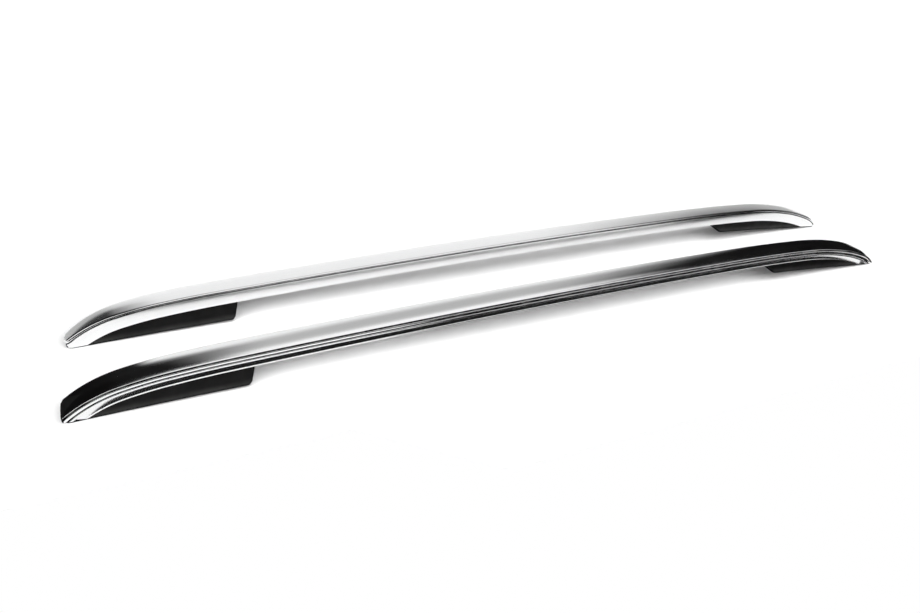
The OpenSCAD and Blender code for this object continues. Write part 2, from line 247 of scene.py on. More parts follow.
print("a corner over", WIDE_R, "mm gets", WIDE_SEGMENTS, "segments, a tighter one", TIGHT_SEGMENTS)


# %% [markdown]
# The section has two outlines. The outside goes up the outer side, over the crown and down the inner side. The
# hollow is a loop of corners only.

# %% The two outlines
def outer_outline(bm, x, base):
    big, flat = CROWN["outer"][0], CROWN["inner"][0]
    outer_side = draw_line(bm, OUTER_SIDE, x, base)
    across = BAR_W / 2 - big * math.sin(SPAN["outer"])
    height = base + BAR_H - big * (1 - math.cos(SPAN["outer"]))
    start = bm.verts.new(at(across, height, x))
    bm.edges.new((outer_side[-1][0], start))
    top = draw_arc(bm, start, big, SPAN["outer"], x, base)
    end = draw_arc(bm, top, flat, SPAN["inner"], x, base)
    inner_side = draw_line(bm, INNER_SIDE, x, base)
    bm.edges.new((end, inner_side[0][0]))
    bm.edges.new((inner_side[-1][0], outer_side[0][0]))
    round_corners(bm, outer_side + inner_side)


def cavity_outline(bm, x, base):
    corners = draw_line(bm, CAVITY, x, base)
    bm.edges.new((corners[-1][0], corners[0][0]))
    round_corners(bm, corners)


for outline in (outer_outline, cavity_outline):
    trial = bmesh.new()
    outline(trial, 0, 0)
    print(outline.__name__, "has", len(trial.verts), "vertices")
    trial.free()

# %% [markdown]
# Bending an extrusion gives a chain of arcs that are tangent to each other, tight at the ends and almost
# straight in the middle. Each arc is told by its radius and by its slope at the outer end, so no centre has to
# be measured: it lies on the line across the bar where the arc before it stopped.

# %% The chain of arcs
FRONT, REAR = 1, -1
HALF_LEN = 852.5
ARCH_HEIGHT = 56
# Place of the arch's highest point along X, and the radius of its almost straight middle. The CAD works both out
# from the rail's length and its bent ends.
CROWN_X = 148.419
MIDDLE_R = 19966.7
# Radius of each arc and the slope in degrees at its outer end.
BENDS = {
    FRONT: [(MIDDLE_R, 0.85), (3280, 3.8), (700, 13.2), (486, 22.2), (105, 50)],
    REAR: [(MIDDLE_R, 2.15), (1740, 5.3), (550, 12.1), (174, 47)],
}


def arc_chain(end):
    """The arcs from the top of the arch outwards, each with its centre, radius, two slopes and length before it."""
    chain = []
    point = Vector((CROWN_X, 0, ARCH_HEIGHT)) * MM
    slope, length = 0.0, 0.0
    for radius, last_slope in BENDS[end]:
        radius, last_slope = radius * MM, math.radians(last_slope)
        centre = point - radius * Vector((end * math.sin(slope), 0, math.cos(slope)))
        chain.append((centre, radius, slope, last_slope, length))
        point = centre + radius * Vector((end * math.sin(last_slope), 0, math.cos(last_slope)))
        length += radius * (last_slope - slope)
        slope = last_slope
    return chain


ARCS = {end: arc_chain(end) for end in BENDS}
print("arcs to the front:", len(ARCS[FRONT]), "and to the rear:", len(ARCS[REAR]))

# %% [markdown]
# A curve object could carry the section along the arch. A spin is closer to the bending machine: it turns the
# last ring of the bar about the centre of the arc, and the next arc starts where it stopped. It keeps every arc
# exact. The sweep runs past the roof at both ends, because the saw comes later.

# %% Sweeping a section along the arch
# A step turns by no more than the first of these and goes no further than the second.
TURN_STEP = math.radians(1)
LONGEST_STEP = 60 * MM


def sweep_end(bm, ring, end):
    """Carries the ring outwards along the arcs and gives back the edges of its last place."""
    for centre, radius, slope, last_slope, _ in ARCS[end]:
        turned = last_slope - slope
        steps = max(math.ceil(turned / TURN_STEP), math.ceil(radius * turned / LONGEST_STEP))
        for _ in range(steps):
            made = bmesh.ops.spin(bm, geom=ring, cent=centre, axis=(0, 1, 0), angle=end * turned / steps,
                                  steps=1, use_merge=False, use_duplicate=False)
            ring = made["geom_last"]
    return only(ring, BMEdge)


def swept(outline):
    bm = bmesh.new()
    outline(bm, CROWN_X * MM, ARCH_HEIGHT)
    ring = list(bm.verts) + list(bm.edges)
    for end in (FRONT, REAR):
        bmesh.ops.holes_fill(bm, edges=sweep_end(bm, ring, end), sides=0)
    return bm


skin = swept(outer_outline)
hollow = swept(cavity_outline)
print("skin of the bar:", len(skin.verts), "vertices, hollow:", len(hollow.verts))

# %% [markdown]
# The ends are sawn to the line of the roof. The roof is a shallow arc of about 9 m, which rises under each foot
# from the tip inwards, and a rubber pad lies on it. A plane couldn't follow that line, so the saw is a block with
# the roof's line on top: a strip drawn along it, extruded sideways and then down.

# %% What the roof takes away
# Length of each foot, and how far the roof rises along it.
FOOT = {
    FRONT: {"length": 326, "rise": 29},
    REAR: {"length": 276, "rise": 5.5},
}
PAD = 2
ROOF_R = 9000
# Places along the roof line, from past the tip inwards, and the width and depth of the block in metres.
SAW_PLACES = [-60, 0, 25, 50, 75, 100, 130]
SAW_W = 0.15
SAW_DEPTH = 0.2


def roof_height(end, inwards):
    foot = FOOT[end]
    return foot["rise"] * inwards / foot["length"] + inwards * (foot["length"] - inwards) / (2 * ROOF_R)


def roof_block(end):
    bm = bmesh.new()
    line = []
    for inwards in SAW_PLACES:
        height = roof_height(end, max(inwards, 0)) + PAD
        line.append(bm.verts.new((end * (HALF_LEN - inwards) * MM, -SAW_W, height * MM)))
    strip = bmesh.ops.extrude_edge_only(bm, edges=join_up(bm, line))["geom"]
    shift(bm, strip, (0, SAW_W, 0))
    block = bmesh.ops.extrude_face_region(bm, geom=only(strip, BMFace))["geom"]
    shift(bm, block, (0, 0, -SAW_DEPTH))
    return bm


print("the roof rises by", {end: round(roof_height(end, FOOT[end]["length"]), 1) for end in FOOT}, "mm")

# %% [markdown]
# Seen from above, the nose of each end is round, tighter on the outer side than on the inner one. The block that
# shapes it is a frame round the nose, with the nose's plan left out. It is drawn as one closed line that goes
# round the nose inside and back round it outside.

# %% What rounds the noses
NOSE_R = {"outer": 7, "inner": 13}
NOSE_SEGMENTS = {"outer": 12, "inner": 16}
# How far the frame goes past the tip and past the sides, and its lowest level and height in metres.
PAST_TIP = 60
PAST_SIDE = 20
FRAME_LOW = -0.1
FRAME_H = 0.25
# The inner arc stays this much short of the corner where it would meet the frame's end.
ARC_SPARE = 0.1


def nose_block(end):
    bm = bmesh.new()
    back, tip = HALF_LEN - NOSE_R["inner"], HALF_LEN
    low, high = NEAR_FACE, NEAR_FACE + BAR_W
    plan = [
        (back, low), (tip, low), (tip, high), (back, high), (back, high + PAST_SIDE),
        (tip + PAST_TIP, high + PAST_SIDE), (tip + PAST_TIP, low - PAST_SIDE), (back, low - PAST_SIDE),
    ]
    verts = [bm.verts.new((end * x * MM, y * MM, FRAME_LOW)) for x, y in plan]
    join_up(bm, verts, closed=True)
    round_corner(bm, verts[1], NOSE_R["outer"], NOSE_SEGMENTS["outer"])
    round_corner(bm, verts[2], NOSE_R["inner"] - ARC_SPARE, NOSE_SEGMENTS["inner"])
    bmesh.ops.contextual_create(bm, geom=bm.edges)
    top = bmesh.ops.extrude_face_region(bm, geom=bm.faces)["geom"]
    shift(bm, top, (0, 0, FRAME_H))
    return bm


print("the noses have radii of", NOSE_R, "mm in plan")


# %% [markdown]
# The hollow and the ends are cuts through a finished bar, so they are made with Boolean modifiers. The exact
# solver is slower than the fast one, but it copes with faces that nearly touch. The result is baked, because
# the finish needs its vertices.

# %% Cutting the bar
def as_tool(bm, name):
    bmesh.ops.recalc_face_normals(bm, faces=bm.faces)
    return new_object(bm, name)


def cut_away(target, tools):
    """Takes the tools out of the target one after another, and deletes them."""
    for tool in tools:
        cut = target.modifiers.new("cut", "BOOLEAN")
        cut.operation = "DIFFERENCE"
        cut.solver = "EXACT"
        cut.object = tool
    shape = bpy.data.meshes.new_from_object(target.evaluated_get(bpy.context.evaluated_depsgraph_get()))
    target.modifiers.clear()
    for tool in tools:
        bpy.data.objects.remove(tool)
    target.data = shape


blank = as_tool(skin, "bar_blank")
tools = [as_tool(hollow, "hollow")]
for end in (FRONT, REAR):
    tools.append(as_tool(roof_block(end), "roof_cut"))
    tools.append(as_tool(nose_block(end), "nose_cut"))
cut_away(blank, tools)
print("cut bar:", len(blank.data.vertices), "vertices")

# %% [markdown]
# The saw leaves a hard edge round each nose, and polishing takes it off. A bevel would be the usual way, but the
# narrow grooves leave it no room. Instead level cuts give the nose's wall enough vertices, and those near the
# rim are relaxed, so that the wall runs over into the crown.

# %% Polishing the noses
POLISH_REACH = 3.2 * MM
POLISH_ROUNDS = 5
POLISH_FROM = 4 * MM
NOSE_BACK = HALF_LEN - NOSE_R["inner"] - 6
LEVELS = range(3, BAR_H, 2)
# Upward part of a face's normal: a face below the first is cut as wall, and an edge of the rim lies between a
# face below the second and one above the third.
WALL_UP, RIM_WALL_UP, RIM_CROWN_UP = 0.1, 0.12, 0.45
RIM_ANGLE = math.radians(35)


def on_nose(vert):
    return abs(vert.co.x) > NOSE_BACK * MM


def cut_levels(bm):
    for level in LEVELS:
        walls = {f for f in bm.faces if abs(f.normal.z) < WALL_UP and all(on_nose(v) for v in f.verts)}
        touched = {e for f in walls for e in f.edges} | {v for f in walls for v in f.verts}
        bmesh.ops.bisect_plane(bm, geom=list(walls | touched), plane_co=(0, 0, level * MM), plane_no=(0, 0, 1))
    bm.normal_update()


def rim_points(bm):
    """Both ends of every edge where the nose's wall meets the crown."""
    points = []
    for edge in bm.edges:
        if len(edge.link_faces) == 2 and all(on_nose(v) for v in edge.verts):
            lower, upper = sorted(face.normal.z for face in edge.link_faces)
            if lower < RIM_WALL_UP and upper > RIM_CROWN_UP and edge.calc_face_angle() > RIM_ANGLE:
                points += [v.co.copy() for v in edge.verts]
    return points


polished = bmesh.new()
polished.from_mesh(blank.data)
bmesh.ops.remove_doubles(polished, verts=polished.verts, dist=MERGE_DIST)
cut_levels(polished)
rim = rim_points(polished)
near_rim = [v for v in polished.verts if on_nose(v) and v.co.z > POLISH_FROM
            and any((v.co - point).length < POLISH_REACH for point in rim)]
for _ in range(POLISH_ROUNDS):
    bmesh.ops.smooth_vert(polished, verts=near_rim, factor=0.5, use_axis_x=True, use_axis_y=True, use_axis_z=True)
print("vertices polished:", len(near_rim))


# %% [markdown]
# The finish follows the bar: drawing lines run along it, and its grooves are darkened with painted shade. A UV map
# could carry a pattern along, but it would be in shares of a picture. So each vertex keeps three real distances
# instead: along the bar, across it, and up from its underside, found from the arc that it lies over.

# %% Laying out the finish
def lay_out(bm):
    """Stores the distances along, across and up on the vertices, in metres."""
    layers = [bm.verts.layers.float.new(name) for name in ("along", "across", "up")]
    for vert in bm.verts:
        end = FRONT if vert.co.x > CROWN_X * MM else REAR
        for centre, radius, slope, last_slope, length in ARCS[end]:
            away = vert.co - centre
            angle = math.atan2(end * away.x, away.z)
            if angle <= last_slope:
                break
        along = end * (length + radius * (angle - slope))
        across = vert.co.y - NEAR_FACE * MM
        height = math.hypot(away.x, away.z) - radius
        for layer, value in zip(layers, (along, across, height)):
            vert[layer] = value


lay_out(polished)
polished.to_mesh(blank.data)
polished.free()
print("laid out on the vertices:", [a.name for a in blank.data.attributes if a.data_type == "FLOAT"])

# %% [markdown]
# The left bar is the mirror image of the right one. A Mirror modifier would make both one object, and each bar
# is a piece of its own. So the mesh is copied and scaled by minus one across the car, and its faces are
# reversed, because that scaling turns them inside out.

# %% The two bars
BAR_SHARP_ANGLE = 28


def bar_piece(name, mirrored):
    bm = bmesh.new()
    bm.from_mesh(blank.data)
    if mirrored:
        bmesh.ops.scale(bm, verts=bm.verts, vec=(1, -1, 1))
        bmesh.ops.reverse_faces(bm, faces=bm.faces)
    return make_piece(bm, name, BAR_SHARP_ANGLE)


bars = {"right": bar_piece("bar_right", False), "left": bar_piece("bar_left", True)}
bpy.data.objects.remove(blank)
for side, bar in bars.items():
    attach(bar, "root")
    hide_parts(f"{side}_bar")
print("faces of the bars:", [len(bar.data.polygons) for bar in bars.values()])

# %% [markdown]
# The feet and pads could be modelled again, but the CAD's shape is right. Only its knife edges aren't, because a
# moulding never has one. So each piece is a merged copy of its node with a small rounded bevel on every edge.

# %% Moulded feet and rubber pads
COPY_MERGE_DIST = 0.000005
FLAT_ANGLE = math.radians(0.8)
SMOOTH_ANGLE = 30
EDGE_ANGLE = math.radians(35)
EDGE_WIDTH = {"foot": 0.7, "pad": 0.4}


def softened_copy(node, name, width):
    bm = bmesh.new()
    bm.from_mesh(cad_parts[node].data)
    bmesh.ops.remove_doubles(bm, verts=bm.verts, dist=COPY_MERGE_DIST)
    bmesh.ops.dissolve_limit(bm, angle_limit=FLAT_ANGLE, verts=bm.verts, edges=bm.edges)
    piece = make_piece(bm, name, SMOOTH_ANGLE)
    rounding = piece.modifiers.new("rounded edges", "BEVEL")
    rounding.width = width * MM
    rounding.segments = 3
    rounding.limit_method = "ANGLE"
    rounding.angle_limit = EDGE_ANGLE
    rounding.harden_normals = True
    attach(piece, "root")
    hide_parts(node)
    return piece


feet, pads = [], []
for side in ("right", "left"):
    for end in ("front", "rear"):
        feet.append(softened_copy(f"{side}_{end}_foot", f"foot_{side}_{end}", EDGE_WIDTH["foot"]))
        pads.append(softened_copy(f"{side}_{end}_pad", f"pad_{side}_{end}", EDGE_WIDTH["pad"]))
print("feet:", len(feet), "pads:", len(pads))


# %% [markdown]
# Finishes. Each material is a network of nodes that ends in one Principled shader. It could be wired by hand in
# the editor, where one finish takes dozens of links. In a script each kind of node gets a short helper, so that
# a finish reads as a formula.

# %% Helpers for node networks
def add_node(tree, kind, **values):
    node = tree.nodes.new(kind)
    for key, value in values.items():
        setattr(node, key, value)
    return node


def feed(tree, socket, value):
    """Sets a socket to a number or a colour, or links it to another socket."""
    if isinstance(value, bpy.types.NodeSocket):
        tree.links.new(value, socket)
    else:
        socket.default_value = value


def feed_all(tree, node, **values):
    """Feeds the inputs that the keywords name, with _ for a space."""
    for title, value in values.items():
        feed(tree, node.inputs[title.replace("_", " ")], value)
    return node


def maths(tree, operation, a, b=0.0):
    node = add_node(tree, "ShaderNodeMath", operation=operation)
    feed(tree, node.inputs[0], a)
    feed(tree, node.inputs[1], b)
    return node.outputs[0]


def times(tree, first, *others):
    for other in others:
        first = maths(tree, "MULTIPLY", first, other)
    return first


def plus(tree, first, *others):
    for other in others:
        first = maths(tree, "ADD", first, other)
    return first


def minus(tree, a, b):
    return maths(tree, "SUBTRACT", a, b)


def split_up(tree, vector):
    """The X, Y and Z of a vector."""
    return feed_all(tree, add_node(tree, "ShaderNodeSeparateXYZ"), Vector=vector).outputs


print("helpers for sums:", [helper.__name__ for helper in (maths, times, plus, minus)])


# %% [markdown]
# Four more helpers are for what a finish is made of: a soft step from one level to another, a band between two
# such steps, noise of a given fineness, and a bump. Grey is the colour that this object needs most.

# %% Helpers for steps, noise, bumps and colours
def ramp(tree, value, low, high, start=0.0, end=1.0):
    """Runs softly from start to end while value goes from low to high."""
    node = add_node(tree, "ShaderNodeMapRange", interpolation_type="SMOOTHSTEP")
    feed_all(tree, node, Value=value, From_Min=low, From_Max=high, To_Min=start, To_Max=end)
    return node.outputs["Result"]


def fade(tree, value, low, high):
    """Runs softly from 1 to 0 while value goes from low to high."""
    return ramp(tree, value, low, high, 1.0, 0.0)


def band(tree, value, low, high, edge):
    """1 where value lies between low and high, with soft edges outside them, and 0 elsewhere."""
    return times(tree, ramp(tree, value, low - edge, low), fade(tree, value, high, high + edge))


def noise(tree, vector, scale, detail=2.0, rough=0.5):
    node = add_node(tree, "ShaderNodeTexNoise")
    feed_all(tree, node, Vector=vector, Scale=scale, Detail=detail, Roughness=rough)
    return node.outputs["Fac"]


def bump(tree, height, distance, strength=1.0):
    node = add_node(tree, "ShaderNodeBump")
    return feed_all(tree, node, Height=height, Distance=distance, Strength=strength).outputs["Normal"]


def grey(level):
    return (level, level, level, 1)


def mix_colour(tree, mask, a, b):
    """Goes from colour a to colour b with the mask. A Mix node keeps its colour sockets at 6, 7 and output 2."""
    node = add_node(tree, "ShaderNodeMix", data_type="RGBA")
    for socket, value in zip((node.inputs[0], node.inputs[6], node.inputs[7]), (mask, a, b)):
        feed(tree, socket, value)
    return node.outputs[2]


print("helpers for patterns:", [helper.__name__ for helper in (ramp, fade, band, noise, bump, mix_colour)])


# %% [markdown]
# What several materials share is a node group with named inputs and outputs, so that it is tuned in one place.
# A new material starts with its Principled shader, how metallic it is, and the place on the object in metres.

# %% Helpers for groups and materials
def new_group(name, inputs, outputs):
    group = bpy.data.node_groups.new(name, "ShaderNodeTree")
    for in_out, sockets in (("INPUT", inputs), ("OUTPUT", outputs)):
        for title, kind in sockets.items():
            group.interface.new_socket(title, in_out=in_out, socket_type=kind)
    return group, add_node(group, "NodeGroupInput").outputs, add_node(group, "NodeGroupOutput")


def use_group(tree, group, **values):
    return feed_all(tree, add_node(tree, "ShaderNodeGroup", node_tree=group), **values).outputs


def new_material(name, metallic):
    material = bpy.data.materials.new(name)
    material.use_nodes = True
    tree = material.node_tree
    shader = tree.nodes["Principled BSDF"]
    shader.inputs["Metallic"].default_value = metallic
    place = add_node(tree, "ShaderNodeTexCoord").outputs["Object"]
    return material, tree, shader, place


def coat(thing, material):
    thing.data.materials.clear()
    thing.data.materials.append(material)


print("helpers for materials:", [helper.__name__ for helper in (new_group, use_group, new_material, coat)])

# %% [markdown]
# Two shared effects. Pores give a moulded or coated skin its fine dull grain: fine noise for the bump, and the
# same noise with a broad one for the gloss. Dust lies where a surface looks up, and in patches.

# %% Shared node groups
VECTOR, VALUE = "NodeSocketVector", "NodeSocketFloat"
PORES, given, out = new_group("pores", {"Place": VECTOR, "Depth": VALUE}, {"Normal": VECTOR, "Gloss": VALUE})
fine = noise(PORES, given["Place"], 1400, 3, 0.6)
broad = noise(PORES, given["Place"], 60, 2)
pore_gloss = times(PORES, ramp(PORES, broad, 0.3, 0.7, 0.75, 1.0), ramp(PORES, fine, 0.2, 0.8, 0.8, 1.0))
feed_all(PORES, out, Normal=bump(PORES, fine, given["Depth"]), Gloss=pore_gloss)

DUST, given, out = new_group("dust", {"Place": VECTOR}, {"Mask": VALUE})
facing = split_up(DUST, add_node(DUST, "ShaderNodeNewGeometry").outputs["Normal"])
patches = times(DUST, noise(DUST, given["Place"], 34, 4, 0.6), noise(DUST, given["Place"], 900, 1))
lying = ramp(DUST, facing["Z"], -0.2, 0.9, 0.35, 1.0)
feed_all(DUST, out, Mask=times(DUST, ramp(DUST, patches, 0.22, 0.42), lying))
print("node groups:", [group.name for group in bpy.data.node_groups])

# %% [markdown]
# The bar is drawn through a die, polished along its length and clear anodised. The die leaves fine lines, and
# handling leaves faint clouds in the gloss. The lines are noise on the distances stored on the vertices, with
# the one along the bar shrunk, so that each grain of the noise is drawn out into a line.

# %% Aluminium: drawing lines and clouds
STRETCH = 0.012
aluminium, tree, shader, place = new_material("bright_aluminium", 1.0)
along, across, up = (add_node(tree, "ShaderNodeAttribute", attribute_name=name).outputs["Fac"]
                     for name in ("along", "across", "up"))
laid = feed_all(tree, add_node(tree, "ShaderNodeCombineXYZ"), X=times(tree, along, STRETCH), Y=across, Z=up)
laid = laid.outputs["Vector"]
lines = plus(tree, times(tree, noise(tree, laid, 420, 3, 0.6), 0.7), times(tree, noise(tree, laid, 2600, 2), 0.3))
clouds = noise(tree, place, 9, 3, 0.55)
print("drawing lines are stretched", round(1 / STRETCH), "times along the bar")

# %% [markdown]
# The grooves are painted nearly black as shade, and so are the edges of the middle groove. The polishing mop can't
# reach into the grooves, so they are rougher too. The shade could be painted on, but the grooves are known in
# millimetres, so the mask is a set of rectangles in the section.

# %% Aluminium: painted shade in the grooves
# Across from, across to, up from, up to, in millimetres.
GROOVE_SHADE_AREAS = {
    "grooves round the ribs": (1.24, 7, 10.3, 24.1),
    "edges of the middle groove": (0.65, 7, 14.9, 17.4),
    "step under the crown": (0.7, 7, 24.1, 25.3),
    "groove of the inner side": (38, 43.3, 22.7, 24.6),
}
SIDE_SOFT, HEIGHT_SOFT = 0.15 * MM, 0.3 * MM

# Mask of the painted shade in the grooves, varied a little by noise.
groove_shade = 0.0
for near, far, low, high in GROOVE_SHADE_AREAS.values():
    groove = times(tree, band(tree, across, near * MM, far * MM, SIDE_SOFT),
                   band(tree, up, low * MM, high * MM, HEIGHT_SOFT))
    groove_shade = maths(tree, "MAXIMUM", groove_shade, groove)
groove_shade = times(tree, groove_shade, ramp(tree, noise(tree, place, 40, 3), 0.3, 0.6, 0.8, 1.0))
print("grime lies in:", ", ".join(GROOVE_SHADE_AREAS))

# %% [markdown]
# The metal is light and hardly coloured. The lines make it a little rougher and turn its normal a little from
# side to side, which draws reflections out across the bar.

# %% Aluminium: colour and gloss
BARE_METAL = ((0.86, 0.865, 0.87, 1), grey(0.9))
# Painted shade: the nearly black colour that the grooves take.
GROOVE_SHADE_COLOUR = grey(0.012)
LINE_ROUGHNESS = (0.08, 0.15)
CLOUD_ROUGHNESS = 0.05
GROOVE_ROUGHNESS = 0.4

metal = mix_colour(tree, clouds, *BARE_METAL)
polish = ramp(tree, lines, 0.3, 0.7, *LINE_ROUGHNESS)
handled = ramp(tree, clouds, 0.35, 0.7, 0.0, CLOUD_ROUGHNESS)
roughness = plus(tree, polish, handled, times(tree, groove_shade, GROOVE_ROUGHNESS))
feed_all(tree, shader, Base_Color=mix_colour(tree, groove_shade, metal, GROOVE_SHADE_COLOUR), Roughness=roughness,
         Normal=bump(tree, lines, 0.00003, 0.5))
print(aluminium.name, "has", len(tree.nodes), "nodes")

# %% [markdown]
# The feet are a glass-filled nylon, moulded in a spark-eroded tool, so their skin is dull with fine pores. Their
# corners are rubbed a little lighter. A Bevel node finds them: it gives the normal as if the edges were round,
# and where that leaves the true normal there is a corner.

# %% Black plastic: skin and rubbed corners
NYLON = ((0.003, 0.003, 0.0031, 1), (0.006, 0.006, 0.0062, 1))
RUBBED = grey(0.03)
RUBBED_SHARE = 0.5
CORNER_REACH = 1.2 * MM

plastic, tree, shader, place = new_material("black_plastic", 0.0)
soft = feed_all(tree, add_node(tree, "ShaderNodeBevel", samples=4), Radius=CORNER_REACH)
corner = add_node(tree, "ShaderNodeVectorMath", operation="DOT_PRODUCT")
feed(tree, corner.inputs[0], soft.outputs["Normal"])
feed(tree, corner.inputs[1], add_node(tree, "ShaderNodeNewGeometry").outputs["Normal"])
at_corner = ramp(tree, corner.outputs["Value"], 0.97, 0.8)
rubbed = times(tree, at_corner, ramp(tree, noise(tree, place, 160, 3), 0.4, 0.65))
skin_colour = mix_colour(tree, noise(tree, place, 25, 3), *NYLON)
skin_colour = mix_colour(tree, times(tree, rubbed, RUBBED_SHARE), skin_colour, RUBBED)
print("corners are found", CORNER_REACH / MM, "mm wide")

# %% [markdown]
# The lowest millimetres of a foot are painted a little lighter. This lighter band follows the roof's line, so its
# height is measured from that line and not from the floor. The front foot rises more steeply than the rear one, and
# a ramp along the car picks the slope.

# %% Black plastic: painted lighter band along the roof line
# The lighter grey that the lowest millimetres of a foot are painted towards.
FOOT_BASE_COLOUR = (0.08, 0.08, 0.078, 1)
FOOT_BASE_SHARE = 0.38
FOOT_BASE_HEIGHT = (1 * MM, 14 * MM)

spot = split_up(tree, place)
inboard = minus(tree, HALF_LEN * MM, maths(tree, "ABSOLUTE", spot["X"]))
slopes = [FOOT[end]["rise"] / FOOT[end]["length"] for end in (REAR, FRONT)]
roof_line = times(tree, inboard, ramp(tree, spot["X"], -0.1, 0.1, *slopes))
above = minus(tree, minus(tree, spot["Z"], PAD * MM), roof_line)
# Painted lighter within the lowest millimetres above the roof line, in patches.
lighter_base = times(tree, fade(tree, above, *FOOT_BASE_HEIGHT), ramp(tree, noise(tree, place, 18, 3), 0.3, 0.7, 0.5, 1.0))
skin_colour = mix_colour(tree, times(tree, lighter_base, FOOT_BASE_SHARE), skin_colour, FOOT_BASE_COLOUR)
print("the roof rises by a share of", [round(slope, 3) for slope in slopes], "under the rear and front foot")

# %% [markdown]
# Last come the pores and a trace of dust. The duller the pores, the rougher the skin, and the skin hardly
# shines, because filled nylon scatters light at its surface.

# %% Black plastic: pores and dust
DUST_COLOUR = (0.3, 0.29, 0.27, 1)
PLASTIC_DUST = 0.008
PLASTIC_PORES = 0.00006
PLASTIC_DULL, PLASTIC_GLOSS = 1.3, 0.8


def worn_skin(tree, shader, place, colour, dust_share, pore_depth, dull, gloss):
    """Puts pores in a black skin and dust on it. Its roughness is dull less the pores' gloss."""
    pores = use_group(tree, PORES, Place=place, Depth=pore_depth)
    dusty = times(tree, use_group(tree, DUST, Place=place)["Mask"], dust_share)
    feed_all(tree, shader, Base_Color=mix_colour(tree, dusty, colour, DUST_COLOUR),
             Roughness=minus(tree, dull, times(tree, pores["Gloss"], gloss)), Normal=pores["Normal"])


worn_skin(tree, shader, place, skin_colour, PLASTIC_DUST, PLASTIC_PORES, PLASTIC_DULL, PLASTIC_GLOSS)
shader.inputs["Specular IOR Level"].default_value = 0.12
print(plastic.name, "has", len(tree.nodes), "nodes")

# %% [markdown]
# The pads are soft black rubber between foot and roof. Rubber is duller than nylon, its pores are deeper, and
# its surface blooms: wax comes out of it and leaves slightly lighter clouds.

# %% Black rubber
RUBBER = (grey(0.006), (0.012, 0.012, 0.0115, 1))
RUBBER_DUST = 0.02
RUBBER_PORES = 0.00009
RUBBER_DULL, RUBBER_GLOSS = 1.5, 0.75

rubber, tree, shader, place = new_material("black_rubber", 0.0)
bloom = mix_colour(tree, noise(tree, place, 70, 4), *RUBBER)
worn_skin(tree, shader, place, bloom, RUBBER_DUST, RUBBER_PORES, RUBBER_DULL, RUBBER_GLOSS)
shader.inputs["Specular IOR Level"].default_value = 0.1
print(rubber.name, "has", len(tree.nodes), "nodes")

# %% [markdown]
# The nut strips and screws are steel with a thin zinc plating. It varies between bluish and yellowish, its
# crystals show as small cells in the gloss, and stains dull it here and there.

# %% Zinc plated steel
ZINC = ((0.55, 0.57, 0.6, 1), (0.66, 0.64, 0.58, 1))
STAIN = (0.36, 0.35, 0.33, 1)
ZINC_ROUGHNESS = (0.28, 0.44)
STAIN_ROUGHNESS = 0.2

steel, tree, shader, place = new_material("zinc_steel", 1.0)
crystals = feed_all(tree, add_node(tree, "ShaderNodeTexVoronoi"), Vector=place, Scale=700).outputs["Distance"]
tint = mix_colour(tree, noise(tree, place, 55, 2), *ZINC)
stained = ramp(tree, noise(tree, place, 120, 4, 0.7), 0.6, 0.72)
roughness = plus(tree, ramp(tree, crystals, 0.0, 1.0, *ZINC_ROUGHNESS), times(tree, stained, STAIN_ROUGHNESS))
feed_all(tree, shader, Base_Color=mix_colour(tree, stained, tint, STAIN), Roughness=roughness,
         Normal=use_group(tree, PORES, Place=place, Depth=0.00002)["Normal"])
print(steel.name, "has", len(tree.nodes), "nodes")

# %% [markdown]
# The inserts are turned from brass bar. The tool leaves fine rings round the axis, which is upright here, so a
# sine of the height makes them. The colour dulls in spots.

# %% Brass
BRASS = ((0.8, 0.62, 0.32, 1), (0.5, 0.36, 0.2, 1))
BRASS_ROUGHNESS = 0.24
SPOT_ROUGHNESS = 0.25
RINGS = 14000

brass, tree, shader, place = new_material("brass", 1.0)
rings = maths(tree, "SINE", times(tree, split_up(tree, place)["Z"], RINGS))
dulled = ramp(tree, noise(tree, place, 260, 4, 0.6), 0.45, 0.7)
roughness = plus(tree, BRASS_ROUGHNESS, times(tree, dulled, SPOT_ROUGHNESS))
feed_all(tree, shader, Base_Color=mix_colour(tree, dulled, *BRASS), Roughness=roughness,
         Normal=bump(tree, rings, 0.00002, 0.6))
print(brass.name, "has a ring every", round(2 * math.pi / RINGS / MM, 2), "mm")

# %% [markdown]
# Every piece now gets its material. The nut strips, screws and inserts stay the CAD's own solids, so theirs
# replaces the plain one in their material slots.

# %% Coating the pieces
for pieces, material in ((bars.values(), aluminium), (feet, plastic), (pads, rubber)):
    for piece in pieces:
        coat(piece, material)
for name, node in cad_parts.items():
    if name.endswith(("screws", "nut_strip")):
        coat(node, steel)
    if name.endswith("inserts"):
        coat(node, brass)
print("materials:", [material.name for material in bpy.data.materials])

# %% [markdown]
# The studio. Polished metal shows its surroundings more than itself, so the surroundings are designed. The floor
# is white paper. The near rail's lower side mirrors what lies in front of it, so the paper's near edge is no
# straight line: it ends closer to the rail at the left, where that side is to be darker.
#
# A grey line would show where the paper ends against the white background. So the paper glows faintly, for the
# camera only, and lights nothing.

# %% Floor
FLOOR_EDGE = [(-6, -0.25), (-0.45, -0.25), (-0.25, -0.4), (14, -0.4)]
FLOOR_BACK = 20
PAPER = (grey(0.95), grey(0.97))
PAPER_GLOW = 0.03

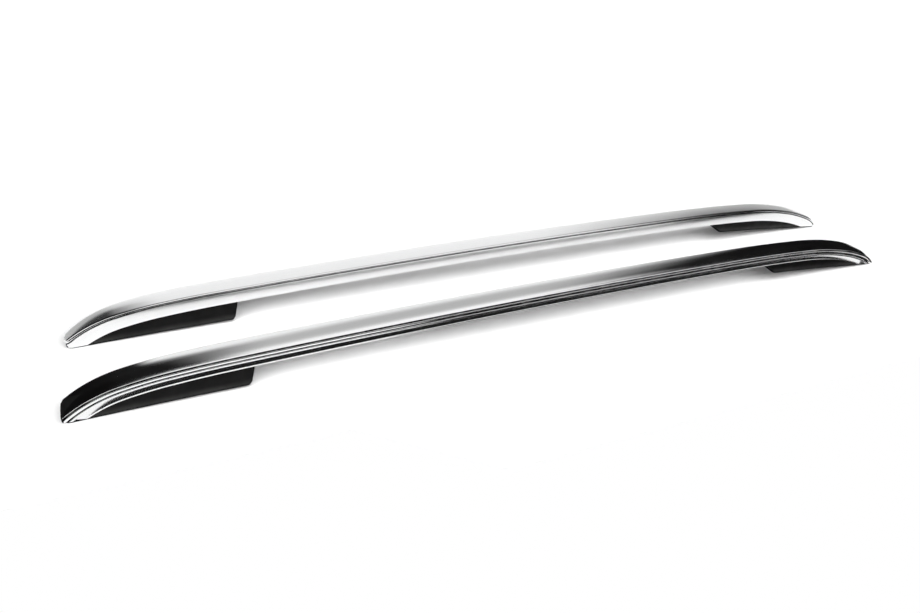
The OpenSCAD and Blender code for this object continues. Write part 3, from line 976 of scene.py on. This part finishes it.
bm = bmesh.new()
edge_line = join_up(bm, [bm.verts.new((x, y, 0)) for x, y in FLOOR_EDGE])
for vert in only(bmesh.ops.extrude_edge_only(bm, edges=edge_line)["geom"], BMVert):
    vert.co.y = FLOOR_BACK
floor = make_piece(bm, "floor")
floor_paper, tree, shader, place = new_material("floor_paper", 0.0)
fibres = noise(tree, place, 300, 3)
roughness = ramp(tree, fibres, 0.3, 0.7, 0.85, 0.95)
glow = times(tree, add_node(tree, "ShaderNodeLightPath").outputs["Is Camera Ray"], PAPER_GLOW)
feed_all(tree, shader, Base_Color=mix_colour(tree, fibres, *PAPER), Roughness=roughness,
         Normal=bump(tree, fibres, 0.00002, 0.3), Emission_Color=grey(1), Emission_Strength=glow)
shader.inputs["Specular IOR Level"].default_value = 0.1
coat(floor, floor_paper)
print("floor:", [round(size, 2) for size in floor.dimensions], "m")

# %% [markdown]
# The world stands for the room round the table. Lamps and walls could be objects, but a formula of the direction
# needs no meshes, and both can be shaped by angle. There are a white wall behind, a softbox above the front and
# a dark room. The angle goes about the rails: 0 at the back horizon, 90 overhead and 180 at the front horizon.

# %% World: directions
world = bpy.data.worlds.new("studio")
bpy.context.scene.world = world
world.use_nodes = True
tree = world.node_tree
tree.nodes.clear()
x, y, z = split_up(tree, add_node(tree, "ShaderNodeTexCoord").outputs["Generated"])
angle = times(tree, maths(tree, "ARCTAN2", z, y), 180 / math.pi)
seen_by = add_node(tree, "ShaderNodeLightPath").outputs
matt = seen_by["Is Diffuse Ray"]
print("world", world.name, "tells these rays apart:", [output.name for output in seen_by][:3])

# %% [markdown]
# The wall is white. Towards its ends it is greyer, most of all high up, so that the ends of the rails go dark.
# Its left end starts along a slanting line. Matt surfaces get only a twentieth of its light, or it would fill
# the shadow under the rails.

# %% World: the wall behind
# Each grade is two angles, or two shares of the direction along x, and the level at each of them.
WALL_FOOT = (-70, -50, 0.0, 1.0)
WALL_TOP = (98, 110, 1.0, 0.0)
WALL_DIM = (5, 60, 1.0, 0.92)
LEFT_LEVEL = (42, 48, 0.5, 0.02)
LEFT_SLANT = 38
LEFT_END = (-0.44, -0.1)
RIGHT_LEVEL = (20, 60, 0.48, 0.12)
RIGHT_END = (0.44, 0.74)
MATT_LOSS = 0.95

slant = minus(tree, angle, times(tree, x, LEFT_SLANT))
wall = times(
    tree,
    ramp(tree, angle, *WALL_FOOT),
    ramp(tree, angle, *WALL_TOP),
    ramp(tree, angle, *WALL_DIM),
    ramp(tree, x, *LEFT_END, ramp(tree, slant, *LEFT_LEVEL), 1.0),
    ramp(tree, x, *RIGHT_END, 1.0, ramp(tree, angle, *RIGHT_LEVEL)),
    minus(tree, 1.0, times(tree, matt, MATT_LOSS)),
)
print("the wall ends", WALL_TOP[0], "to", WALL_TOP[1], "degrees up")

# %% [markdown]
# The softbox hangs above the front. Matt surfaces need a strong lamp, and the same lamp would burn out in the
# metal. So it has two levels, and the kind of ray chooses: one as a lamp and a lower one in mirror reflections.
# The camera itself sees plain white all round.

# %% World: the softbox and the background
SOFTBOX_TOP = (98, 108, 0.0, 1.0)
SOFTBOX_FOOT = (142, 150, 1.0, 0.0)
SOFTBOX_END = (0.85, 0.98, 1.0, 0.0)
IN_METAL, AS_LAMP = 1.4, 4.25
ROOM = 0.012

softbox = times(
    tree,
    ramp(tree, angle, *SOFTBOX_TOP),
    ramp(tree, angle, *SOFTBOX_FOOT),
    ramp(tree, x, *SOFTBOX_END),
    ramp(tree, matt, 0.0, 1.0, IN_METAL, AS_LAMP),
)
level = plus(tree, wall, softbox, ROOM)
studio = feed_all(tree, add_node(tree, "ShaderNodeBackground"), Color=grey(1), Strength=level)
white = feed_all(tree, add_node(tree, "ShaderNodeBackground"), Color=grey(1))
choose = feed_all(tree, add_node(tree, "ShaderNodeMixShader"), Fac=seen_by["Is Camera Ray"])
feed(tree, choose.inputs[1], studio.outputs[0])
feed(tree, choose.inputs[2], white.outputs[0])
feed(tree, add_node(tree, "ShaderNodeOutputWorld").inputs["Surface"], choose.outputs[0])
print("the world has", len(tree.nodes), "nodes")

# %% [markdown]
# A graded panel stands between the rails. Photographers use such panels to draw a soft dark band along polished
# metal. Its front is mirrored by the near rail's crown: bright at its foot, grey in the middle and lighter again
# higher up, and black at both ends, so that the rail's ends go dark. Its back is mirrored by the shoulder of the
# far rail.

# %% The panel between the rails
PANEL = {"left": -1.6, "right": 2.0, "low": 0.0, "high": 1.3, "place": 0.03}

bm = bmesh.new()
for side, level in (("left", "low"), ("right", "low"), ("right", "high"), ("left", "high")):
    bm.verts.new((PANEL[side], PANEL["place"], PANEL[level]))
bmesh.ops.contextual_create(bm, geom=bm.verts)
panel = make_piece(bm, "panel")
panel.data.flip_normals()
print("panel faces along y:", round(panel.data.polygons[0].normal.y))

# %% [markdown]
# The panel's grading is emission, because a lit card would depend on the lamps. Each grade is two heights on the
# panel in metres and what holds at each of them.

# %% Grading the panel
LEFT_BLACK = (0.122, 0.17, -0.775, -0.75)
LEFT_CLEAR = (0.122, 0.17, -0.715, -0.51)
RIGHT_LEAN_LOW = (0.12, 0.172, 0.14, 0.0)
RIGHT_LEAN_HIGH = (0.28, 0.7, 0.0, 0.35)
RIGHT_FADE = 0.5
SHINE_LOW = (0.13, 0.175, 0.98, 0.5)
SHINE_HIGH = (0.26, 0.85, 0.0, 0.6)

grey_card, tree, shader, place = new_material("grey_card", 0.0)
shader.inputs["Base Color"].default_value = grey(0.004)
shader.inputs["Specular IOR Level"].default_value = 0.0
along_panel, _, up_panel = split_up(tree, place)
on_left = fade(tree, along_panel, ramp(tree, up_panel, *LEFT_BLACK), ramp(tree, up_panel, *LEFT_CLEAR))
lean = plus(tree, ramp(tree, up_panel, *RIGHT_LEAN_LOW), ramp(tree, up_panel, *RIGHT_LEAN_HIGH))
on_right = ramp(tree, minus(tree, along_panel, lean), 0.0, RIGHT_FADE)
dark = maths(tree, "MAXIMUM", on_left, on_right)
shine = plus(tree, ramp(tree, up_panel, *SHINE_LOW), ramp(tree, up_panel, *SHINE_HIGH))
feed_all(tree, shader, Emission_Color=grey(1), Emission_Strength=times(tree, shine, minus(tree, 1.0, dark)))
print("the panel is graded from", SHINE_LOW[0], "to", SHINE_HIGH[1], "m")

# %% [markdown]
# The panel's foot is clear, so that the metal mirrors the floor below it. The clear part differs from side to
# side: seen from the near rail the black ends reach down to the floor, and seen from the far rail the panel
# starts a little lower. Geometry's Backfacing tells which side a ray comes from.

# %% Clear foot of the panel
NEAR_STARTS = (0.12, 0.134)
FAR_STARTS = (0.085, 0.1)

behind = add_node(tree, "ShaderNodeNewGeometry").outputs["Backfacing"]
from_near = maths(tree, "MAXIMUM", dark, ramp(tree, up_panel, *NEAR_STARTS))
from_far = ramp(tree, up_panel, *FAR_STARTS)
sheet = feed_all(tree, add_node(tree, "ShaderNodeMixShader"), Fac=ramp(tree, behind, 0.0, 1.0, from_near, from_far))
feed(tree, sheet.inputs[1], add_node(tree, "ShaderNodeBsdfTransparent").outputs[0])
feed(tree, sheet.inputs[2], shader.outputs[0])
feed(tree, tree.nodes["Material Output"].inputs["Surface"], sheet.outputs[0])
coat(panel, grey_card)
print("the panel starts at", NEAR_STARTS, "m from the near side and at", FAR_STARTS, "m from the far side")

# %% [markdown]
# Black cards do for the near rail what the panel can't. One is just past its left tip, bent along its length so
# that it lies and stands, for the nose to mirror. The other lies on the floor in front of the rail, and keeps
# its lower side from going white. A darker floor would do it too, but the camera would see that.

# %% Black cards at the near rail
CARD_PROFILE = [(-0.17, 0.0005), (-0.045, 0.0005), (-0.045, 0.055)]
CARD_LEFT = -1.1
CARD_LENGTH = 0.238
STRIP_PLAN = [(-0.5, -0.27), (0.86, -0.27), (0.86, -0.118), (-0.2, -0.118)]
STRIP_LEVEL = 0.0005

bm = bmesh.new()
profile = join_up(bm, [bm.verts.new((CARD_LEFT, y, z)) for y, z in CARD_PROFILE])
shift(bm, bmesh.ops.extrude_edge_only(bm, edges=profile)["geom"], (CARD_LENGTH, 0, 0))
bmesh.ops.contextual_create(bm, geom=[bm.verts.new((x, y, STRIP_LEVEL)) for x, y in STRIP_PLAN])
card = make_piece(bm, "black_card")
black_card, tree, shader, _ = new_material("black_card", 0.0)
shader.inputs["Base Color"].default_value = grey(0.01)
shader.inputs["Specular IOR Level"].default_value = 0.0
coat(card, black_card)
print("black cards:", len(card.data.polygons), "faces")

# %% [markdown]
# The panel and the cards are tools of the studio and no part of the rails. Only mirror reflections see them:
# they are switched off for the camera and for every other kind of ray, and they throw no shadow.

# %% Seen in reflections only
for thing in (panel, card):
    for kind in ("camera", "diffuse", "transmission", "volume_scatter", "shadow"):
        setattr(thing, "visible_" + kind, False)
print("seen in mirrors only:", [thing.name for thing in (panel, card)])

# %% [markdown]
# The Standard view transform shows a colour as it is written. The default one would press the whites of the
# floor down to grey, to leave room for brighter lights than this studio has.

# %% Colours as they are
bpy.context.scene.view_settings.view_transform = "Standard"
print("view transform:", bpy.context.scene.view_settings.view_transform)
